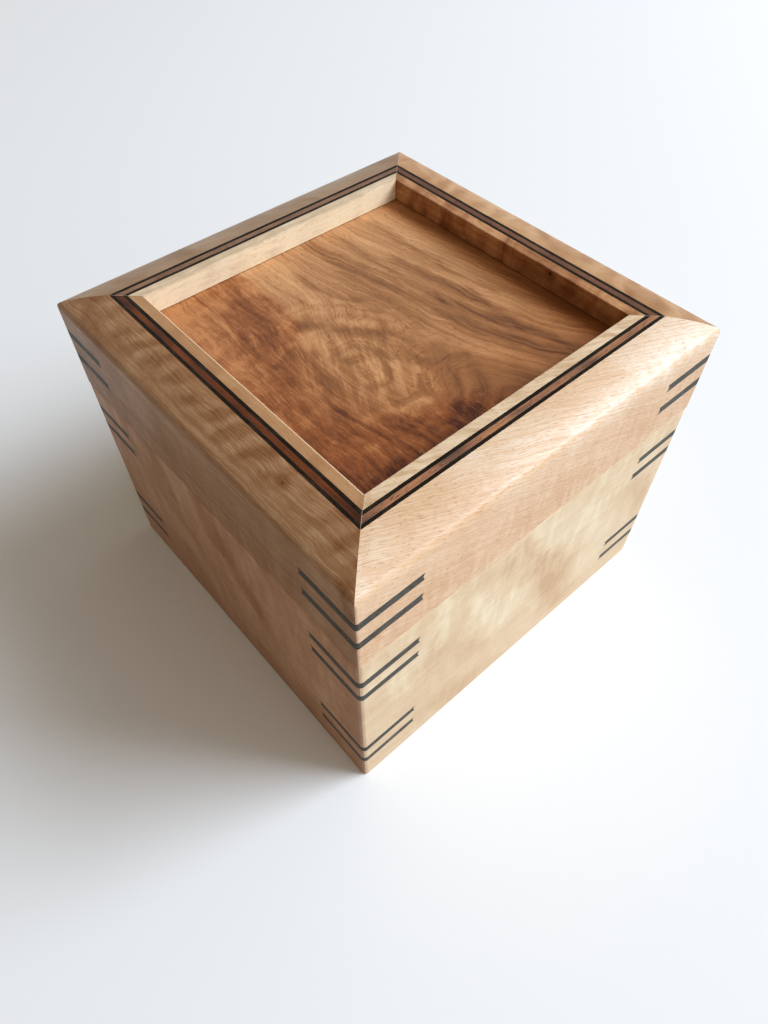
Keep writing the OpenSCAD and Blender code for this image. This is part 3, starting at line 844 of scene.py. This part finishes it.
def walnutColour(tree, at, tone, red):
    look, weights = walnutPanel, walnutPanel["weights"]
    feather = walnutLayer(tree, "feather", at["bent"], at["y"])
    redTone = plus(tree, tone, look["tone"]["red"])
    redTone = weighted(tree, redTone, feather, times(tree, red, weights["feather"]))
    redTone = weighted(tree, redTone, walnutLayer(tree, "cloud", at["x"], at["y"]), weights["cloud"])
    golden = rampOf(tree, tone, look["ramp"], look["deep"], look["middle"], look["pale"])
    reddish = rampOf(tree, redTone, look["ramp"], look["redDeep"], look["redMiddle"], look["redPale"])
    colour = mixColours(tree, red, golden, reddish)
    front = remap(tree, moved(tree, at["y"], at["flat"], look["frontEdge"], 3), *look["frontFade"], 1.0, 0.0)
    colour = stain(tree, front, colour, look["frontTint"])
    # painted shade: the strip along the panel's right edge is stained darker and redder, under the right
    # lip's shadow
    return stain(tree, remap(tree, at["x"], *look["rightEdgeShadeFade"]), colour, look["rightEdgeShade"])


def makeWalnut():
    look, weights = walnutPanel, walnutPanel["weights"]
    material, tree, shader = startMaterial("figuredWalnut", look)
    at = walnutPlaces(tree)
    red = walnutRed(tree, at)
    lines = walnutLayer(tree, "lines", at["flow"], at["y"])
    fibres = walnutLayer(tree, "fibres", at["flow"], at["y"])
    tone = streakedTone(tree, walnutTone(tree, at, lines, fibres), at, lines)
    pores = walnutLayer(tree, "pores", at["flow"], at["y"])
    colour = walnutColour(tree, at, tone, red)
    colour = cover(tree, times(tree, pores, weights["pores"]), colour, look["pore"])
    shine = walnutLayer(tree, "shine", at["bent"], at["y"])
    shine = times(tree, shine, times(tree, red, weights["shine"]))
    tree.links.new(cover(tree, shine, colour, look["fleck"]), shader.inputs["Base Color"])
    addRelief(tree, shader, timesPlus(tree, pores, weights["poreDepth"], fibres), look["relief"])
    addRoughness(tree, shader, tone, look)
    return material


dress("lid_panel", makeWalnut(), walnutPanel["ease"])
print("dressed the panel")

# straight-grained dark wood for the lining, the keeper and the tongue
liningBoards = {
    "roughness": 0.45, "gloss": 0.15, "ease": 0.0002, "relief": 0.00004, "pale": (0.30, 0.165, 0.09),
    "deep": (0.13, 0.06, 0.03), "pore": (0.05, 0.024, 0.013), "pores": 0.6, "bands": (0.012, 0.12, 0.12),
    "lineWeight": 0.22, "toneRange": (0.3, 0.7), "shift": (1.7, 11.0, 6.0),
}


def makeLining(name, side):
    look = liningBoards
    material, tree, shader = startMaterial(name, look)
    perDegree, into, up = look["shift"]
    plain, space = boardVector(tree, side, (sideAngles[side] * perDegree, into, up))
    lines = placeGroup(tree, grain, {"Vector": space})
    bands = noise(tree, stretched(tree, space, *look["bands"]), 1.0, 4, 0.55, 0.4)
    tone = weighted(tree, bands, lines["Lines"], look["lineWeight"])
    colour = cover(tree, remap(tree, tone, *look["toneRange"]), look["deep"] + (1,), look["pale"])
    colour = cover(tree, times(tree, lines["Flecks"], look["pores"]), colour, look["pore"])
    tree.links.new(colour, shader.inputs["Base Color"])
    addRelief(tree, shader, minus(tree, 1.0, lines["Flecks"]), look["relief"])
    addRoughness(tree, shader, bands, look)
    return material


for side in sideAngles:
    dress("lining_" + side, makeLining("liningWood_" + side, side), liningBoards["ease"])
dress("keeper_strip", makeLining("keeperWood", "front"), liningBoards["ease"])
dress("lock_tongue", makeLining("tongueWood", "right"), liningBoards["ease"])
print("dressed the lining")

# brass screws and plated magnets: fine turning marks and a little tarnish
metals = {
    "brass": {"roughness": 0.3, "gloss": 0.5, "colour": (0.72, 0.52, 0.24), "dull": (0.46, 0.32, 0.15),
              "spread": 0.08},
    "plated": {"roughness": 0.22, "gloss": 0.5, "colour": (0.70, 0.70, 0.71), "dull": (0.52, 0.51, 0.50),
               "spread": 0.08},
    "ease": 0.00012, "marks": 2.5, "markStretch": (1, 1, 4), "markRange": (0.35, 0.7),
}


def makeMetal(name):
    look = metals[name]
    material, tree, shader = startMaterial(name, look)
    shader.inputs["Metallic"].default_value = 1.0
    plain, space = boardVector(tree, "front")
    marks = noise(tree, stretched(tree, space, *metals["markStretch"]), metals["marks"], 4, 0.6)
    colour = cover(tree, remap(tree, marks, *metals["markRange"]), look["colour"] + (1,), look["dull"])
    tree.links.new(colour, shader.inputs["Base Color"])
    addRoughness(tree, shader, marks, look)
    return material


plated = makeMetal("plated")
dress("batten_screws", makeMetal("brass"), metals["ease"])
for name in ("rail_magnets", "panel_magnets"):
    dress(name, plated, metals["ease"])
print("dressed the metal pieces")

# the floor, the window light, the warm room and the camera, in metres, degrees and watts
stage = {
    "floorSize": 12.0, "floorHeight": -0.0001, "fadeFrom": 0.95, "fadeTo": 2.3,
    "floor": {"colour": (0.87, 0.89, 0.92), "roughness": 0.7, "gloss": 0.15},
    "lightDistance": 3.1, "lightTurn": -35.0, "lightHeight": 40.2, "lightWide": 1.75, "lightTall": 1.75,
    "lightPower": 114.0, "lightColour": (0.82, 0.905, 1.0),
    "brightRoom": (0.86, 0.82, 0.74), "dimRoom": (0.183, 0.136, 0.080), "roomTowards": (0.50, -0.80, 0.33),
    "roomEdge": 0.1, "backgroundColour": (0.90, 0.925, 0.95),
}


# 1 for rays that show the background, and 0 for those that light the box
def seenRays(tree):
    path = addNode(tree, "ShaderNodeLightPath").outputs
    direct = maths(tree, "MAXIMUM", path["Is Camera Ray"], path["Is Transmission Ray"])
    return maths(tree, "MAXIMUM", direct, path["Is Glossy Ray"])


def makeFloorMaterial():
    material, tree, shader = startMaterial("paleFloor", stage["floor"])
    shader.inputs["Base Color"].default_value = stage["floor"]["colour"] + (1,)
    # far from the box the floor runs out into the background
    away = distanceOf(tree, addNode(tree, "ShaderNodeTexCoord").outputs["Object"])
    factor = times(tree, remap(tree, away, stage["fadeFrom"], stage["fadeTo"]), seenRays(tree))
    glow = addNode(tree, "ShaderNodeEmission", {"Color": stage["backgroundColour"] + (1,)})
    mixed = addNode(tree, "ShaderNodeMixShader", {0: factor, 1: shader.outputs[0], 2: glow.outputs[0]})
    # and it is clear from below
    under = addNode(tree, "ShaderNodeNewGeometry").outputs["Backfacing"]
    clear = addNode(tree, "ShaderNodeBsdfTransparent")
    whole = addNode(tree, "ShaderNodeMixShader", {0: under, 1: mixed.outputs[0], 2: clear.outputs[0]})
    tree.links.new(whole.outputs[0], tree.nodes["Material Output"].inputs["Surface"])
    return material


def makeFloor():
    half, height = stage["floorSize"] / 2, stage["floorHeight"]
    corners = [(x, y, height) for x, y in ((-half, -half), (half, -half), (half, half), (-half, half))]
    mesh = bpy.data.meshes.new("floor")
    mesh.from_pydata(corners, [], [(0, 1, 2, 3)])
    mesh.materials.append(makeFloorMaterial())
    floor = bpy.data.objects.new("floor", mesh)
    bpy.context.scene.collection.objects.link(floor)


def makeLight():
    lamp = bpy.data.lights.new("window", "AREA")
    lamp.shape = "RECTANGLE"
    lamp.size = stage["lightWide"]
    lamp.size_y = stage["lightTall"]
    lamp.energy = stage["lightPower"]
    lamp.color = stage["lightColour"]
    light = bpy.data.objects.new("window", lamp)
    turn, height = math.radians(stage["lightTurn"]), math.radians(stage["lightHeight"])
    away = Vector((math.cos(height) * math.cos(turn), math.cos(height) * math.sin(turn), math.sin(height)))
    light.location = away * stage["lightDistance"]
    light.rotation_euler = away.to_track_quat("Z", "Y").to_euler()
    bpy.context.scene.collection.objects.link(light)


def makeWorld():
    world = bpy.data.worlds.new("room")
    bpy.context.scene.world = world
    world.use_nodes = True
    tree = world.node_tree
    tree.nodes.clear()
    # the room is brighter towards the window and overhead, and dim behind the box
    direction = addNode(tree, "ShaderNodeTexCoord").outputs["Generated"]
    bright = remap(tree, dotOf(tree, direction, stage["roomTowards"]), stage["roomEdge"], 1.0)
    shade = cover(tree, bright, stage["dimRoom"] + (1,), stage["brightRoom"])
    room = addNode(tree, "ShaderNodeBackground", {"Color": shade}).outputs[0]
    seen = addNode(tree, "ShaderNodeBackground", {"Color": stage["backgroundColour"] + (1,)}).outputs[0]
    mixed = addNode(tree, "ShaderNodeMixShader", {0: seenRays(tree), 1: room, 2: seen})
    output = addNode(tree, "ShaderNodeOutputWorld")
    tree.links.new(mixed.outputs[0], output.inputs[0])


# place in metres, heading, down and roll in degrees, sensor in mm
camera = {
    "place": (-0.11822, -0.13449, 0.24953), "heading": 48.627, "down": 52.469, "roll": -0.08,
    "focalPixels": 737.0, "tallPixels": 1024.0, "sensor": 36.0, "nearest": 0.01,
}


def makeCamera():
    data = bpy.data.cameras.new("camera")
    data.sensor_width = camera["sensor"]
    data.lens = camera["focalPixels"] * camera["sensor"] / camera["tallPixels"]
    data.clip_start = camera["nearest"]
    obj = bpy.data.objects.new("camera", data)
    obj.location = camera["place"]
    tilt = Euler((math.radians(90 - camera["down"]), 0, math.radians(camera["heading"] - 90)), "XYZ")
    roll = Euler((0, 0, math.radians(camera["roll"])), "XYZ")
    obj.rotation_euler = (tilt.to_matrix() @ roll.to_matrix()).to_euler()
    bpy.context.scene.collection.objects.link(obj)
    bpy.context.scene.camera = obj


makeFloor()
makeLight()
makeWorld()
makeCamera()
bpy.context.scene.view_settings.view_transform = "Standard"
print("set the stage")
